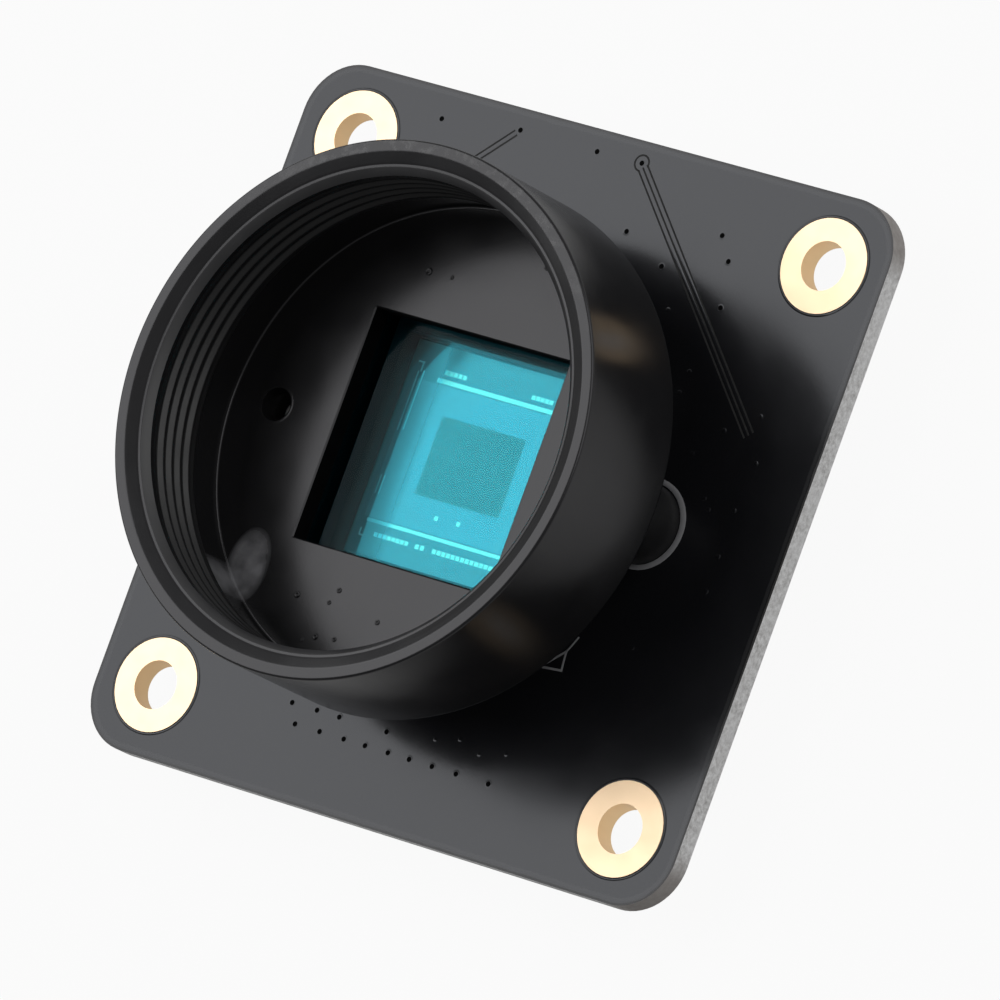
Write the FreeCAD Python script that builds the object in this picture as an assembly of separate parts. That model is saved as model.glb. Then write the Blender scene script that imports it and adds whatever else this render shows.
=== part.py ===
import FreeCAD, Part
import math
import os

# Board camera module: a square circuit board that carries a threaded lens mount over an image sensor.
# Lengths are in millimetres. The origin is the middle of the board's front face, on the lens axis.
# +Z runs along the lens axis out of the mount, +X to the right and +Y to the top of the board.

# Circuit board and its corner holes
hole_pitch = 30.0  # between the corner holes, both ways
hole_edge_margin = 3.75  # from a corner hole's middle to the board's edge
board_thickness = 1.2
board_corner_radius = 3.0
mounting_hole_d = 2.6  # inside the plating
plating_thickness = 0.05
land_d = 5.0  # bare gold ring round each corner hole

# Image sensor in its ceramic carrier, stacked up from the board's front face
die_size = 11.4
die_thickness = 0.6
die_clearance = 0.2
carrier_floor_thickness = 1.0
frame_width = 0.7
carrier_height = 2.55
carrier_corner_radius = 0.4
cover_corner_radius = 0.3
cover_overlap = 0.3  # of the cover glass on the carrier's frame
cover_thickness = 0.5

# Filter glass under the window of the mount
window_size = 12.4
filter_gap = 0.45  # air between the cover glass and the filter
filter_overlap = 0.5  # of the filter behind the window's edge
filter_thickness = 0.7
filter_clearance = 0.2

# Lens mount
thread_major_d = 25.4  # one-inch lens thread with 32 turns to the inch
thread_length = 4.85
thread_relief = 0.05
ring_wall = 1.3  # outside the thread
well_depth = 2.5  # smooth bore between the thread and the floor
well_corner = 0.15
lead_in_width = 0.7
lead_in_depth = 0.3
rim_edge_break = 0.15
floor_thickness = 1.2
under_chamfer = 1.0
box_wall = 0.7
box_corner_radius = 1.0
carrier_clearance = 0.3
post_d = 4.2
rib_thickness = 1.4

# Screws that hold the mount, put in from the back
screw_pitch = 20.0
screw_core_d = 1.66
screw_fit_clearance = 0.02
screw_hole_d = 2.2  # in the board
screw_length = 5.0  # under the head
screw_tip = 0.5
screw_head_d = 3.6
screw_head_height = 1.3
screw_head_edge = 0.4
cross_slot_length = 2.0
cross_slot_width = 0.45
cross_slot_depth = 0.7

# Cable header at the bottom edge of the back
header_positions = 8
header_pitch = 1.5
header_end_margin = 2.25
header_depth = 4.2
header_height = 3.3
header_wall = 0.5
header_edge_inset = 0.6
key_slot_width = 1.2
contact_width = 0.4
contact_reach = 2.8  # inside the housing
contact_tail = 0.8
tab_thickness = 0.3
tab_depth = 2.4
tab_height = 1.8
tab_foot = 1.0

# Chips and small parts on the back
row_gap = 1.3
part_gap = 1.1
processor_size = 9.0
processor_height = 0.85
processor_y = 2.0
processor_leads_per_side = 14
processor_lead_pitch = 0.5
processor_lead_width = 0.24
processor_lead_length = 0.4
processor_lead_height = 0.2
processor_lead_proud = 0.04
lead_standoff = 0.1  # under a chip that stands on bent leads
lead_thickness = 0.16
lead_foot = 0.45
flash_length = 4.9
flash_width = 3.9
flash_height = 1.5
flash_span = 6.0
flash_lead_width = 0.42
flash_lead_pitch = 1.27
regulator_length = 2.9
regulator_width = 1.6
regulator_height = 1.1
regulator_span = 2.8
regulator_lead_width = 0.4
regulator_lead_pitch = 0.95
crystal_length = 3.2
crystal_width = 2.5
crystal_base_height = 0.5
crystal_lid_inset = 0.2
crystal_lid_height = 0.25
crystal_lid_radius = 0.35
inductor_size = 3.4
inductor_height = 1.4
inductor_corner_radius = 0.7
inductor_terminal_width = 1.6
inductor_terminal_thickness = 0.12
terminal_proud = 0.02  # of a small part's end caps over its body
bulk_length = 2.0
bulk_width = 1.25
bulk_height = 1.25
bulk_cap = 0.45
bulk_count = 3
bypass_length = 1.0
bypass_width = 0.5
bypass_height = 0.5
bypass_cap = 0.25
bypass_per_side = 5
bypass_pitch = 1.3
resistor_length = 1.6
resistor_width = 0.8
resistor_height = 0.45
resistor_cap = 0.3
resistor_count = 7

# Sizes that follow from those above
board_width = hole_pitch + 2 * hole_edge_margin
cavity_size = die_size + 2 * die_clearance
carrier_size = cavity_size + 2 * frame_width
cover_size = cavity_size + 2 * cover_overlap
filter_size = window_size + 2 * filter_overlap
box_inner = max(carrier_size + 2 * carrier_clearance, filter_size + 2 * filter_clearance)
box_outer = box_inner + 2 * box_wall
cover_top_z = carrier_height + cover_thickness
floor_underside_z = cover_top_z + filter_gap + filter_thickness
floor_top_z = floor_underside_z + floor_thickness
thread_bottom_z = floor_top_z + well_depth
ring_top_z = thread_bottom_z + thread_length + lead_in_depth
thread_radius = thread_major_d / 2
well_radius = thread_radius + thread_relief
ring_radius = thread_radius + ring_wall
screw_x = screw_pitch / 2
hole_x = hole_pitch / 2
header_width = (header_positions - 1) * header_pitch + 2 * header_end_margin
header_y = -board_width / 2 + header_edge_inset  # mouth of the header
header_tail_y = header_y + header_depth + contact_width + contact_tail


def block(size_x, size_y, z_low, z_high, x=0.0, y=0.0):
    """A box that stands from z_low to z_high, with its middle at x, y."""
    corner = FreeCAD.Vector(x - size_x / 2, y - size_y / 2, z_low)
    return Part.makeBox(size_x, size_y, z_high - z_low, corner)


def rounded_block(size_x, size_y, radius, z_low, z_high, x=0.0, y=0.0):
    """A box with its four upright edges rounded."""
    reach_x = size_x / 2 - radius
    reach_y = size_y / 2 - radius
    quarter_turn = 90
    edges = []
    for quarter, (side_x, side_y) in enumerate([(1, 1), (-1, 1), (-1, -1), (1, -1)]):
        middle = FreeCAD.Vector(x + side_x * reach_x, y + side_y * reach_y, z_low)
        start = quarter_turn * quarter
        edges.append(Part.makeCircle(radius, middle, FreeCAD.Vector(0, 0, 1), start, start + quarter_turn))
    for here in range(4):
        arc = edges[here]
        following = edges[(here + 1) % 4]
        edges.append(Part.makeLine(arc.lastVertex().Point, following.firstVertex().Point))
    outline = Part.Wire(Part.__sortEdges__(edges))
    return Part.Face(outline).extrude(FreeCAD.Vector(0, 0, z_high - z_low))


def rod(diameter, z_low, z_high, x=0.0, y=0.0):
    """An upright cylinder."""
    return Part.makeCylinder(diameter / 2, z_high - z_low, FreeCAD.Vector(x, y, z_low))


def turned(outline):
    """A solid of revolution about the Z axis, from its radius and height pairs."""
    points = [FreeCAD.Vector(radius, 0, height) for radius, height in outline]
    section = Part.Face(Part.makePolygon(points + points[:1]))
    return section.revolve(FreeCAD.Vector(0, 0, 0), FreeCAD.Vector(0, 0, 1), 360)


def extruded_profile(outline, width, x=0.0):
    """A solid from an outline in the YZ plane, as wide as width along X and centred on x."""
    points = [FreeCAD.Vector(x - width / 2, y, z) for y, z in outline]
    section = Part.Face(Part.makePolygon(points + points[:1]))
    return section.extrude(FreeCAD.Vector(width, 0, 0))


def joined(shapes):
    """One solid from shapes that touch or overlap."""
    return shapes[0].multiFuse(shapes[1:]).removeSplitter()


def on_back(shape, x=0.0, y=0.0):
    """Turns a part that was drawn standing on a board over, and sets it on the back face."""
    placed = shape.copy()
    placed.rotate(FreeCAD.Vector(0, 0, 0), FreeCAD.Vector(1, 0, 0), 180)
    placed.translate(FreeCAD.Vector(x, y, -board_thickness))
    return placed


def spread(lengths, gap):
    """Middles of things of these lengths that stand in a row with equal gaps, about zero."""
    total = sum(lengths) + gap * (len(lengths) - 1)
    middles = []
    start = -total / 2
    for length in lengths:
        middles.append(start + length / 2)
        start += length + gap
    return middles


def evenly(count, pitch):
    """Middles of count things at one pitch, about zero."""
    first = -pitch * (count - 1) / 2
    return [first + number * pitch for number in range(count)]


def circuit_board():
    """Square board with rounded corners, four plated corner holes and two screw holes."""
    board = rounded_block(board_width, board_width, board_corner_radius, -board_thickness, 0)
    lined_hole_d = mounting_hole_d + 2 * plating_thickness
    for x in (-hole_x, hole_x):
        for y in (-hole_x, hole_x):
            board = board.cut(rod(lined_hole_d, -board_thickness, 0, x, y))
    for x in (-screw_x, screw_x):
        board = board.cut(rod(screw_hole_d, -board_thickness, 0, x))
    return board


def mounting_pad(x, y):
    """Plated lining of a corner hole, with its round land on both faces of the board."""
    lining_radius = mounting_hole_d / 2 + plating_thickness
    outline = [
        (mounting_hole_d / 2, -board_thickness - plating_thickness),
        (land_d / 2, -board_thickness - plating_thickness),
        (land_d / 2, -board_thickness),
        (lining_radius, -board_thickness),
        (lining_radius, 0),
        (land_d / 2, 0),
        (land_d / 2, plating_thickness),
        (mounting_hole_d / 2, plating_thickness),
    ]
    pad = turned(outline)
    pad.translate(FreeCAD.Vector(x, y, 0))
    return pad


def ring_and_floor():
    """Round part of the mount: ring with a lead-in and thread bore, wider well, floor with a bevel below."""
    return turned([
        (0, floor_underside_z),
        (ring_radius - under_chamfer, floor_underside_z),
        (ring_radius, floor_underside_z + under_chamfer),
        (ring_radius, ring_top_z - rim_edge_break),
        (ring_radius - rim_edge_break, ring_top_z),
        (thread_radius + lead_in_width, ring_top_z),
        (thread_radius, ring_top_z - lead_in_depth),
        (thread_radius, thread_bottom_z),
        (well_radius, thread_bottom_z),
        (well_radius, floor_top_z + well_corner),
        (well_radius - well_corner, floor_top_z),
        (0, floor_top_z),
    ])


def lens_mount():
    """One moulding: ring, floor with a square window, box round the sensor and a screw post on each side."""
    solid_parts = [ring_and_floor()]
    solid_parts.append(rounded_block(box_outer, box_outer, box_corner_radius, 0, floor_underside_z))
    for side in (-1, 1):
        solid_parts.append(rod(post_d, 0, floor_underside_z, side * screw_x))
        rib_length = screw_x - box_inner / 2
        rib_x = side * (screw_x + box_inner / 2) / 2
        solid_parts.append(block(rib_length, rib_thickness, 0, floor_underside_z, rib_x))
    mount = joined(solid_parts)
    mount = mount.cut(block(box_inner, box_inner, 0, floor_underside_z))
    mount = mount.cut(block(window_size, window_size, floor_underside_z, floor_top_z))
    pilot_d = screw_core_d + 2 * screw_fit_clearance
    for x in (-screw_x, screw_x):
        mount = mount.cut(rod(pilot_d, 0, floor_top_z, x))
    return mount


def mount_screw(x):
    """Pan-head screw from the back, through the board and up into a post. Its thread isn't drawn."""
    core_radius = screw_core_d / 2
    head_radius = screw_head_d / 2
    head_low_z = -board_thickness - screw_head_height
    tip_z = screw_length - board_thickness
    screw = turned([
        (0, head_low_z),
        (head_radius - screw_head_edge, head_low_z),
        (head_radius, head_low_z + screw_head_edge),
        (head_radius, -board_thickness),
        (core_radius, -board_thickness),
        (core_radius, tip_z - screw_tip),
        (core_radius / 2, tip_z),
        (0, tip_z),
    ])
    slot_top_z = head_low_z + cross_slot_depth
    screw = screw.cut(block(cross_slot_length, cross_slot_width, head_low_z, slot_top_z))
    screw = screw.cut(block(cross_slot_width, cross_slot_length, head_low_z, slot_top_z))
    screw.translate(FreeCAD.Vector(x, 0, 0))
    return screw


def filter_glass():
    """Square glass against the underside of the floor, behind the window."""
    return block(filter_size, filter_size, floor_underside_z - filter_thickness, floor_underside_z)


def sensor_package():
    """Ceramic carrier: a square tray with a cavity for the die."""
    carrier = rounded_block(carrier_size, carrier_size, carrier_corner_radius, 0, carrier_height)
    return carrier.cut(block(cavity_size, cavity_size, carrier_floor_thickness, carrier_height))


def sensor_die():
    """Silicon chip on the carrier's floor."""
    top_z = carrier_floor_thickness + die_thickness
    return block(die_size, die_size, carrier_floor_thickness, top_z)


def sensor_cover_glass():
    """Glass lid on the carrier's frame."""
    return rounded_block(cover_size, cover_size, cover_corner_radius, carrier_height, cover_top_z)


def header_housing():
    """Box-shaped housing, open towards the board's edge, with a key slot in its outer wall."""
    inner_width = header_width - 2 * header_wall
    middle_y = -header_y - header_depth / 2
    housing = block(header_width, header_depth, 0, header_height, 0, middle_y)
    pocket_y = middle_y + header_wall / 2
    pocket = block(inner_width, header_depth - header_wall, header_wall, header_height - header_wall, 0, pocket_y)
    housing = housing.cut(pocket)
    for side in (-1, 1):
        slot_x = side * (inner_width / 2 - key_slot_width)
        slot_y = middle_y + header_depth / 2 - (header_depth - header_wall) / 4
        slot_low_z = header_height - header_wall
        housing = housing.cut(
            block(key_slot_width, (header_depth - header_wall) / 2, slot_low_z, header_height, slot_x, slot_y)
        )
    for contact in header_contact_list():
        housing = housing.cut(contact)
    return housing


def header_contact_list():
    """Square pins through the rear wall of the housing, each bent down to a solder foot."""
    pin_z = header_height / 2
    rear_y = -header_y - header_depth
    tip_y = rear_y + header_wall + contact_reach
    bend_y = rear_y - contact_width
    foot_y = bend_y - contact_tail
    outline = [
        (tip_y, pin_z + contact_width / 2),
        (bend_y, pin_z + contact_width / 2),
        (bend_y, contact_width / 2),
        (foot_y, contact_width / 2),
        (foot_y, 0),
        (rear_y, 0),
        (rear_y, pin_z - contact_width / 2),
        (tip_y, pin_z - contact_width / 2),
    ]
    return [extruded_profile(outline, contact_width, x) for x in evenly(header_positions, header_pitch)]


def header_tab_list():
    """Solder tab on each end of the housing: an upright leaf with a foot on the board."""
    tab_y = -header_y - header_depth / 2
    tabs = []
    for side in (-1, 1):
        leaf_x = side * (header_width + tab_thickness) / 2
        foot_x = side * (header_width + tab_foot) / 2
        leaf = block(tab_thickness, tab_depth, 0, tab_height, leaf_x, tab_y)
        foot = block(tab_foot, tab_depth, 0, tab_thickness, foot_x, tab_y)
        tabs.append(joined([leaf, foot]))
    return tabs


def processor():
    """Flat square package with a row of flush leads along each side."""
    body = block(processor_size, processor_size, 0, processor_height)
    lead_middle = processor_size / 2 + processor_lead_proud - processor_lead_length / 2
    solid_parts = [body]
    for along in evenly(processor_leads_per_side, processor_lead_pitch):
        for side in (-1, 1):
            across = side * lead_middle
            solid_parts.append(
                block(processor_lead_width, processor_lead_length, 0, processor_lead_height, along, across)
            )
            solid_parts.append(
                block(processor_lead_length, processor_lead_width, 0, processor_lead_height, across, along)
            )
    return joined(solid_parts)


def bent_lead(body_edge, span_edge, shoulder_z, width, x):
    """One gull-wing lead on the +Y side, from the body's edge down to its foot."""
    knee_y = span_edge - lead_foot
    outline = [
        (body_edge, shoulder_z),
        (body_edge, shoulder_z + lead_thickness),
        (knee_y, shoulder_z + lead_thickness),
        (knee_y + lead_thickness, lead_thickness),
        (span_edge, lead_thickness),
        (span_edge, 0),
        (knee_y, 0),
        (knee_y - lead_thickness, shoulder_z),
    ]
    return extruded_profile(outline, width, x)


def leaded_package(length, width, height, span, lead_width, front_leads, back_leads):
    """Moulded package with bent leads at these places along its front and back sides."""
    shoulder_z = (lead_standoff + height) / 2
    solid_parts = [block(length, width, lead_standoff, height)]
    for x in front_leads:
        solid_parts.append(bent_lead(width / 2 - lead_thickness, span / 2, shoulder_z, lead_width, x))
    for x in back_leads:
        lead = bent_lead(width / 2 - lead_thickness, span / 2, shoulder_z, lead_width, -x)
        lead.rotate(FreeCAD.Vector(0, 0, 0), FreeCAD.Vector(0, 0, 1), 180)
        solid_parts.append(lead)
    return joined(solid_parts)


def flash_chip():
    """Memory chip with four leads on each side."""
    leads = evenly(4, flash_lead_pitch)
    return leaded_package(flash_length, flash_width, flash_height, flash_span, flash_lead_width, leads, leads)


def regulator():
    """Small regulator with three leads on one side and two on the other."""
    three_leads = evenly(3, regulator_lead_pitch)
    two_leads = [three_leads[0], three_leads[2]]
    return leaded_package(
        regulator_length, regulator_width, regulator_height, regulator_span,
        regulator_lead_width, three_leads, two_leads,
    )


def crystal():
    """Ceramic base with a smaller metal lid."""
    lid_length = crystal_length - 2 * crystal_lid_inset
    lid_width = crystal_width - 2 * crystal_lid_inset
    lid_top = crystal_base_height + crystal_lid_height
    base = block(crystal_length, crystal_width, 0, crystal_base_height)
    lid = rounded_block(lid_length, lid_width, crystal_lid_radius, crystal_base_height, lid_top)
    return joined([base, lid])


def inductor():
    """Moulded coil with rounded corners and a flat terminal on two sides."""
    body = rounded_block(inductor_size, inductor_size, inductor_corner_radius, 0, inductor_height)
    solid_parts = [body]
    for side in (-1, 1):
        terminal_x = side * inductor_size / 2
        solid_parts.append(
            block(
                2 * inductor_terminal_thickness, inductor_terminal_width,
                0, inductor_height / 2, terminal_x,
            )
        )
    return joined(solid_parts)


def small_part(length, width, height, cap):
    """Ceramic block with a slightly larger metal cap on each end."""
    inner_width = width - 2 * terminal_proud
    solid_parts = [block(length - cap, inner_width, terminal_proud, height - terminal_proud)]
    for side in (-1, 1):
        solid_parts.append(block(cap, width, 0, height, side * (length - cap) / 2))
    return joined(solid_parts)


def upright(shape):
    """A part turned a quarter about Z, so that its length runs along Y."""
    turned_shape = shape.copy()
    turned_shape.rotate(FreeCAD.Vector(0, 0, 0), FreeCAD.Vector(0, 0, 1), 90)
    return turned_shape


def lower_row():
    """Memory, regulators and coil in a row between the header and the processor."""
    row_y = (header_tail_y + processor_y - processor_size / 2) / 2
    parts_in_row = [
        ("voltage_regulator_1", regulator(), regulator_length),
        ("flash_memory", flash_chip(), flash_length),
        ("voltage_regulator_2", regulator(), regulator_length),
        ("power_inductor", inductor(), inductor_size + 2 * inductor_terminal_thickness),
    ]
    middles = spread([length for _, _, length in parts_in_row], part_gap)
    return {name: on_back(shape, x, row_y) for (name, shape, _), x in zip(parts_in_row, middles)}


def upper_row():
    """Crystal and bulk capacitors in a row above the processor, and the resistors above them."""
    row_height = max(crystal_width, bulk_length)
    row_y = processor_y + processor_size / 2 + row_gap + row_height / 2
    lengths = [crystal_length] + [bulk_width] * bulk_count
    middles = spread(lengths, part_gap)
    bulk = upright(small_part(bulk_length, bulk_width, bulk_height, bulk_cap))
    resistor = upright(small_part(resistor_length, resistor_width, resistor_height, resistor_cap))
    resistor_y = row_y + row_height / 2 + row_gap + resistor_length / 2
    resistor_pitch = resistor_width + part_gap
    return {
        "crystal_oscillator": on_back(crystal(), middles[0], row_y),
        "bulk_capacitors": Part.makeCompound([on_back(bulk, x, row_y) for x in middles[1:]]),
        "resistors": Part.makeCompound(
            [on_back(resistor, x, resistor_y) for x in evenly(resistor_count, resistor_pitch)]
        ),
    }


def bypass_capacitors():
    """A column of small capacitors on each side of the processor, midway to the screw head."""
    column_x = (processor_size / 2 + screw_x - screw_head_d / 2) / 2
    capacitor = small_part(bypass_length, bypass_width, bypass_height, bypass_cap)
    placed = []
    for side in (-1, 1):
        for y in evenly(bypass_per_side, bypass_pitch):
            placed.append(on_back(capacitor, side * column_x, processor_y + y))
    return Part.makeCompound(placed)


def all_parts():
    """Every named part of the module in its place."""
    corners = [(-hole_x, -hole_x), (hole_x, -hole_x), (hole_x, hole_x), (-hole_x, hole_x)]
    shapes = {
        "circuit_board": circuit_board(),
        "lens_mount": lens_mount(),
        "mount_screw_left": mount_screw(-screw_x),
        "mount_screw_right": mount_screw(screw_x),
        "filter_glass": filter_glass(),
        "sensor_package": sensor_package(),
        "sensor_die": sensor_die(),
        "sensor_cover_glass": sensor_cover_glass(),
        "cable_header_housing": on_back(header_housing()),
        "cable_header_contacts": on_back(Part.makeCompound(header_contact_list())),
        "cable_header_tabs": on_back(Part.makeCompound(header_tab_list())),
        "image_processor": on_back(processor(), 0, processor_y),
        "bypass_capacitors": bypass_capacitors(),
    }
    for number, (x, y) in enumerate(corners, start=1):
        shapes[f"mounting_pad_{number}"] = mounting_pad(x, y)
    shapes.update(lower_row())
    shapes.update(upper_row())
    return shapes


os.makedirs("parts", exist_ok=True)
for name, shape in all_parts().items():
    shape.exportStep(f"parts/{name}.step")
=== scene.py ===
import math
import bmesh
import bpy
from mathutils import Matrix, Vector
from mathutils.geometry import tessellate_polygon


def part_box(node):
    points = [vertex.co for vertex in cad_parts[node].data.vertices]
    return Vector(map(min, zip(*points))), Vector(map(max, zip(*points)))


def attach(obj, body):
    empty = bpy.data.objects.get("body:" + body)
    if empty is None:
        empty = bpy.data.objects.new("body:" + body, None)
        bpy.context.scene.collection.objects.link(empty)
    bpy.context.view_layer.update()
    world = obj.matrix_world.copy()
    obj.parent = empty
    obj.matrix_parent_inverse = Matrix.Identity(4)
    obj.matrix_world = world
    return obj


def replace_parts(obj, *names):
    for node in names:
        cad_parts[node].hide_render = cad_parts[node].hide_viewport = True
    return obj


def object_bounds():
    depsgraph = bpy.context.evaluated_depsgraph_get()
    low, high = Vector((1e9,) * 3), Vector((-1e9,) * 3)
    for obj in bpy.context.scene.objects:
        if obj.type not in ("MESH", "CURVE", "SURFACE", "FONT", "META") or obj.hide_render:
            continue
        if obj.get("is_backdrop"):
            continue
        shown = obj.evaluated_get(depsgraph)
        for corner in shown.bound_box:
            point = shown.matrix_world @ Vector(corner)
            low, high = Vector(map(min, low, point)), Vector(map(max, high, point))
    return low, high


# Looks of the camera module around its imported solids. Blender works in metres; the sizes here are in
# millimetres and are multiplied by MM where they reach Blender.
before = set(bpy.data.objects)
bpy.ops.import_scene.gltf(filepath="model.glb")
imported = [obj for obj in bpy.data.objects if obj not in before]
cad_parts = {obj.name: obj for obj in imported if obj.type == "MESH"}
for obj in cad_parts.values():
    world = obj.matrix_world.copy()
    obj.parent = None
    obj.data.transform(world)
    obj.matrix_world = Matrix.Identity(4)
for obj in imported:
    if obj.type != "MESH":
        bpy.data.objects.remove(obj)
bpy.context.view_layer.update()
MM = 0.001


def low(node):
    """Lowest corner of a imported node, in millimetres."""
    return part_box(node)[0] / MM


def high(node):
    """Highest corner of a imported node, in millimetres."""
    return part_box(node)[1] / MM


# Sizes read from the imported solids
mount_high = high("lens_mount")
ring_radius = mount_high.x
ring_top = mount_high.z
board_half = high("circuit_board").x
board_back = low("circuit_board").z
filter_top = high("filter_glass").z
die_top = high("sensor_die").z
screw_x = (low("mount_screw_right").x + high("mount_screw_right").x) / 2
pad_half = (high("mounting_pad_3").x - low("mounting_pad_3").x) / 2
hole_x = high("mounting_pad_3").x - pad_half

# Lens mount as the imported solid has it, and the thread that only this script gives it
THREAD_RADIUS = 12.7
THREAD_PITCH = 25.4 / 32
THREAD_DEPTH = 0.26
CREST_RADIUS = 12.27
THREAD_BOTTOM = 7.9
WELL_RADIUS = 12.75
FLOOR_TOP = 5.4
WELL_CORNER = 0.15
LEAD_IN_RADIUS = 13.4
THREAD_START = 0.09
THREAD_FADE_START = 11.75
THREAD_FADE_END = 12.05
LEAD_IN_DEPTH = 0.3
MOUTH_DEPTH = 0.4
MOUTH_LEDGE = 0.08
RIM_BREAK = 0.15
UNDER_CHAMFER = 1.0
WINDOW_HALF = 6.2
BOX_OUTER_HALF = 7.6
BOX_CORNER = 1.0
BOX_INNER_HALF = 6.9
POST_RADIUS = 2.1
RIB_HALF = 0.7
PILOT_RADIUS = 0.85
EDGE_SOFTNESS = 0.07
lead_in_bottom = ring_top - LEAD_IN_DEPTH


# Meshes

def put(name, data):
    """Puts data in the scene as an object."""
    made = bpy.data.objects.new(name, data)
    bpy.context.scene.collection.objects.link(made)
    return made


def add_object(name, mesh, slot, *finishes):
    """Adds a mesh with its finishes as a piece of the module."""
    for finish in finishes:
        mesh.materials.append(finish)
    piece = put(name, mesh)
    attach(piece, "root")
    return piece


# A softened edge, in shares of its softness: inward and away from the flat
SOFT_EDGE = [(1.5, 0.0), (1.0, 0.0), (0.3, 0.3), (0.0, 1.0)]
WELD = 0.0001


class Builder:
    """Collects points in millimetres and faces, and welds them into one mesh."""

    def __init__(self):
        self.points = []
        self.faces = []
        self.finish = 0

    def face(self, corners):
        """Adds one face in the present finish."""
        self.faces.append((tuple(corners), self.finish))

    def loop(self, points):
        """Adds a row of points and returns their numbers."""
        start = len(self.points)
        self.points.extend(Vector(point) for point in points)
        return list(range(start, len(self.points)))

    def square(self, half, radius, z):
        """Adds a row round a square with rounded corners."""
        return self.loop(rounded_rectangle(half, half, radius, z))

    def bridge(self, first, second, closed=True):
        """Quads between two rows of equal length."""
        count = len(first)
        for here in range(count if closed else count - 1):
            after = (here + 1) % count
            self.face((first[here], first[after], second[after], second[here]))

    def skin(self, rows, closed=True):
        """Bridges rows of points in turn and returns the first and last row's numbers."""
        loops = [self.loop(row) for row in rows]
        for first, second in zip(loops, loops[1:]):
            self.bridge(first, second, closed)
        return loops[0], loops[-1]

    def fill(self, *rows):
        """A flat face inside the first row and outside the others."""
        flat = [index for row in rows for index in row]
        for triangle in tessellate_polygon([[self.points[index] for index in row] for row in rows]):
            self.face(flat[corner] for corner in triangle)

    def pillow(self, half_x, half_y, low_z, high_z, soft, x=0.0, y=0.0, corner=0.0, steps=2):
        """A block with softened edges; its upright corners can be rounder than the rest."""
        corner = max(corner, soft)
        sections = [(inset * soft, low_z + rise * soft) for inset, rise in SOFT_EDGE]
        sections += [(inset * soft, high_z - rise * soft) for inset, rise in reversed(SOFT_EDGE)]
        rows = []
        for inset, z in sections:
            radius = max(corner - inset, 0.1 * soft)
            rows.append(rounded_rectangle(half_x - inset, half_y - inset, radius, z, steps, x, y))
        for row in self.skin(rows):
            self.face(row)

    def rings(self, profile, steps, x=0.0, y=0.0):
        """A skin of revolution about an upright line, from radius and height pairs."""
        return self.skin([circle(radius, z, steps, x, y) for radius, z in profile])

    def turned(self, profile, steps, x=0.0, y=0.0):
        """A skin of revolution whose two ends are closed flat."""
        for row in self.rings(profile, steps, x, y):
            self.face(row)

    def ribbon(self, path, profile, base=0.0):
        """A strip along a path, with a cross-section of offset and height pairs."""
        rows = []
        places = [Vector(point) for point in path]
        closed = places[0] == places[-1]
        headings = [(after - place).normalized() for place, after in zip(places, places[1:])]
        for here, place in enumerate(places):
            arriving = headings[here - 1 if here or closed else 0]
            leaving = headings[here] if here < len(headings) else headings[0 if closed else -1]
            along = (arriving + leaving).normalized()
            stretch = 1 / max(0.3, along.dot(arriving))
            across = Vector((-along.y, along.x)) * stretch
            rows.append([
                (place.x + across.x * offset, place.y + across.y * offset, base + height)
                for offset, height in profile
            ])
        ends = self.skin(rows)
        if not closed:
            for row in ends:
                self.face(row)

    def extrusion(self, outline, half_width, place):
        """A prism: place turns an outline pair and a distance across into a point."""
        ends = (-half_width, half_width)
        for row in self.skin([[place(a, b, across) for a, b in outline] for across in ends]):
            self.face(row)

    def mesh(self, name, sharp_degrees=35):
        """The welded mesh in metres, smooth apart from its sharp edges."""
        work = bmesh.new()
        corners = [work.verts.new(point * MM) for point in self.points]
        for face, finish in self.faces:
            made = work.faces.new([corners[index] for index in face])
            made.material_index = finish
        bmesh.ops.remove_doubles(work, verts=work.verts, dist=WELD * MM)
        bmesh.ops.dissolve_degenerate(work, edges=work.edges, dist=WELD * MM)
        bmesh.ops.recalc_face_normals(work, faces=work.faces)
        result = bpy.data.meshes.new(name)
        work.to_mesh(result)
        work.free()
        result.polygons.foreach_set("use_smooth", [True] * len(result.polygons))
        result.set_sharp_from_angle(angle=math.radians(sharp_degrees))
        return result


def arc(radius, start, end, steps, x=0.0, y=0.0):
    """Flat points along an arc between two angles in degrees."""
    angles = [math.radians(start + (end - start) * step / steps) for step in range(steps + 1)]
    return [(x + radius * math.cos(angle), y + radius * math.sin(angle)) for angle in angles]


def circle(radius, z, count, x=0.0, y=0.0):
    """Points round a circle."""
    return [(*point, z) for point in arc(radius, 0, 360, count, x, y)[:-1]]


def rounded_rectangle(half_x, half_y, radius, z, steps=6, x=0.0, y=0.0):
    """Points round a rectangle with rounded corners."""
    flat = []
    for corner, (side_x, side_y) in enumerate([(1, 1), (-1, 1), (-1, -1), (1, -1)]):
        middle = (x + side_x * (half_x - radius), y + side_y * (half_y - radius))
        flat += arc(radius, 90 * corner, 90 * corner + 90, steps, *middle)
    return [(*point, z) for point in flat]


def evenly(low_end, high_end, count):
    """Places of count things from one end to the other."""
    return [low_end + (high_end - low_end) * number / (count - 1) for number in range(count)]


# Materials

def grey(level):
    """A grey colour."""
    return (level, level, level)


def scaled(color, factor):
    """A colour made darker, or lighter up to white."""
    return tuple(min(1.0, value * factor) for value in color)


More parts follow.
